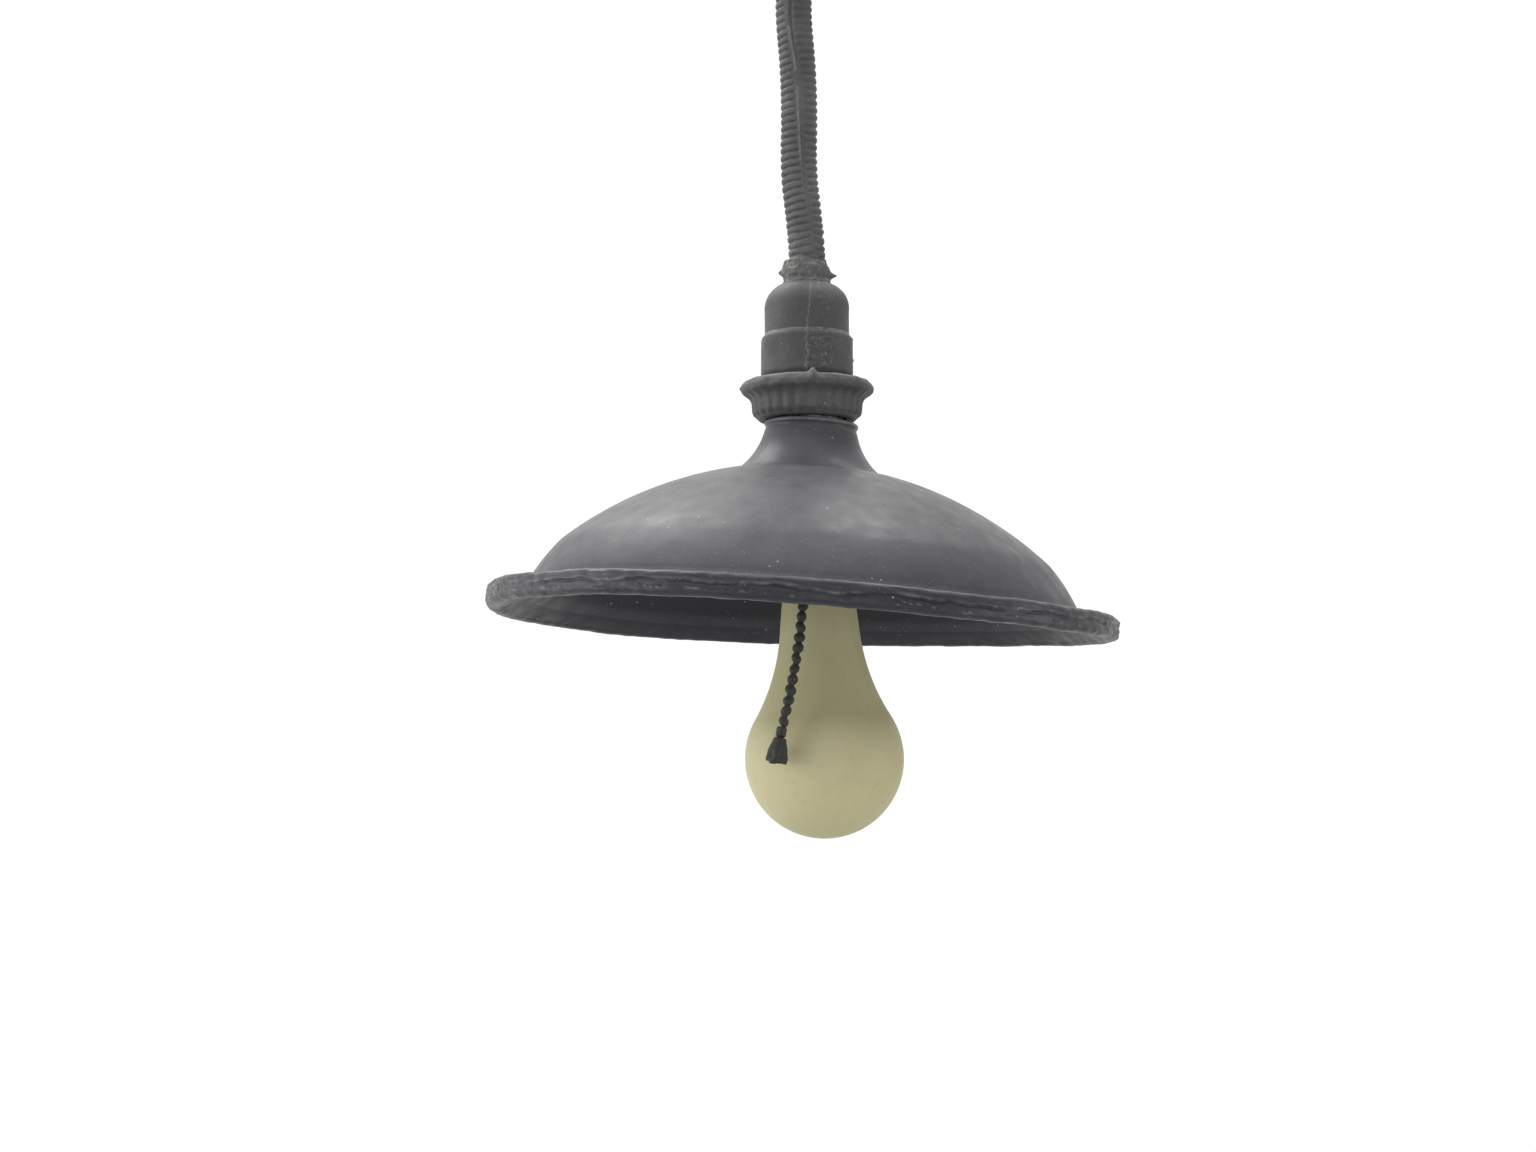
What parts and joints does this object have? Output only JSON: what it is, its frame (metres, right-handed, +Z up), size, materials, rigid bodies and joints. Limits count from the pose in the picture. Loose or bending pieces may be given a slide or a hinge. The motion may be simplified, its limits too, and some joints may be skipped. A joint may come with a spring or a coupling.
{
  "type": "pendant ceiling light",
  "caption": "Pull-chain pendant ceiling light: ribbed sleeve cord, domed cap, fluted collar, crooked shallow dome shade with rolled rim, pear bulb and bead chain.",
  "frame": {"origin": "centre of the crossbar's top face, in the ceiling plane, midway between the two box screws", "axes": "+Z up towards the ceiling; +X along the crossbar, to the right as seen from the front; +Y away from the viewer; the lamp hangs along -Z"},
  "size_m": [0.2353, 0.2356, 0.4013],
  "materials": {
    "zinc": "dull zinc plate",
    "canopy_paint": "dusty matt charcoal paint",
    "nut_metal": "satin charcoal",
    "green_screw": "green passivated",
    "brass": "bright brass",
    "nickel": "nickel plate",
    "grip_plastic": "matt",
    "sleeve_rubber": "dusty matt ribbed rubber",
    "boot_rubber": "dusty matt rubber",
    "wire_black": "satin",
    "wire_white": "satin",
    "connector": "satin orange",
    "cover_rubber": "dusty satin moulded rubber skin",
    "shade_rubber": "dusty satin moulded rubber",
    "fibre": "vulcanised fibre",
    "phenolic": "dark brown phenolic",
    "porcelain": "glazed white",
    "copper": "phosphor bronze",
    "spring_steel": "bright",
    "bulb_glass": "matt ivory coating",
    "bulb_base": "rolled aluminium",
    "bulb_black": "black vitrite",
    "clear_glass": "clear",
    "filament": "tungsten",
    "chain_metal": "dusty charcoal"
  },
  "bodies": {
    "ceiling": {"crossbar": "zinc", "canopy_studs": "zinc", "canopy_nuts": "nut_metal", "ground_screw": "green_screw", "canopy": "canopy_paint", "hanger_nipple": "zinc", "nipple_nut": "zinc", "hanger_yoke": "zinc", "yoke_nut": "zinc", "yoke_pin": "nickel"},
    "pendant": {"swivel_fork": "zinc", "cord_grip": "grip_plastic", "grip_nut": "grip_plastic", "cord_sleeve": "sleeve_rubber", "conductor_line": "wire_black", "conductor_neutral": "wire_white", "wire_connectors": "connector", "cord_boot": "boot_rubber", "socket_cap": "cover_rubber", "socket_shell": "cover_rubber", "insulating_liner": "fibre", "fluted_collar": "cover_rubber", "terminal_block": "phenolic", "terminal_screw_line": "brass", "terminal_screw_neutral": "nickel", "strap_line": "copper", "strap_neutral": "copper", "core_nipple": "zinc", "core_locknut": "zinc", "lamp_skirt": "phenolic", "contact_disc": "porcelain", "centre_contact": "copper", "screw_shell": "brass", "switch_body": "porcelain", "rotor_shaft": "nickel", "return_spring": "spring_steel", "switch_leaf": "copper", "chain_guide": "nut_metal"},
    "swivel": {"swivel_cross": "zinc"},
    "chain": {"pull_chain": "chain_metal", "chain_coupling": "chain_metal", "pull_bell": "chain_metal"},
    "lever": {"pull_lever": "spring_steel"},
    "rotor": {"switch_rotor": "phenolic"},
    "bulb_seat": {"bulb_contact": "nickel"},
    "bulb": {"bulb_glass": "bulb_glass", "bulb_base": "bulb_base", "bulb_insulator": "bulb_black", "bulb_stem": "clear_glass", "bulb_leads": "nickel", "bulb_filament": "filament"},
    "washer": {"seat_washer": "fibre"},
    "ring": {"retaining_ring": "zinc"},
    "shade": {"shade": "shade_rubber"}
  },
  "joints": [
    {"name": "swing_side", "type": "hinge", "parent": "ceiling", "child": "swivel", "pos_m": [0, 0, -0.032], "axis": [0, 1, 0], "range_deg": [-5, 5]},
    {"name": "swing_fore", "type": "hinge", "parent": "swivel", "child": "pendant", "pos_m": [0, 0, -0.032], "axis": [1, 0, 0], "range_deg": [-5, 5]},
    {"name": "chain_pull", "type": "slide", "parent": "pendant", "child": "chain", "axis": [-0.1714, -0.1077, -0.9793], "range_m": [0, 0.008], "stiffness_N_per_m": 800, "springref_m": -0.002},
    {"name": "lever_turn", "type": "hinge", "parent": "pendant", "child": "lever", "pos_m": [0.00803, -0.005, -0.27289], "axis": [0.9994, 0, 0.0349], "range_deg": [0, 30]},
    {"name": "rotor_turn", "type": "hinge", "parent": "pendant", "child": "rotor", "pos_m": [0.00803, -0.005, -0.27289], "axis": [0.9994, 0, 0.0349], "range_deg": [0, 46]},
    {"name": "bulb_travel", "type": "slide", "parent": "pendant", "child": "bulb_seat", "axis": [0.0349, 0, -0.9994], "range_m": [0, 0.02]},
    {"name": "bulb_turn", "type": "hinge", "parent": "bulb_seat", "child": "bulb", "pos_m": [0.00663, 0, -0.28154], "axis": [0.0349, 0, -0.9994], "range_deg": [0, 1980]},
    {"name": "ring_travel", "type": "slide", "parent": "pendant", "child": "washer", "axis": [0.0349, 0, -0.9994], "range_m": [0, 0.006]},
    {"name": "ring_turn", "type": "hinge", "parent": "washer", "child": "ring", "pos_m": [0.00557, 0, -0.25096], "axis": [0.0349, 0, -0.9994], "range_deg": [0, 1080]},
    {"name": "shade_turn", "type": "hinge", "parent": "pendant", "child": "shade", "pos_m": [0.0042, 0, -0.2628], "axis": [0.0523, 0, 0.9986], "continuous": true}
  ],
  "couplings": [
    {"joint": "lever_turn", "follows": "chain_pull", "rad_per_m": 64.6},
    {"joint": "rotor_turn", "follows": "chain_pull", "rad_per_m": 98.17},
    {"joint": "bulb_travel", "follows": "bulb_turn", "m_per_rad": 0.00057757},
    {"joint": "ring_travel", "follows": "ring_turn", "m_per_rad": 0.00031831}
  ]
}
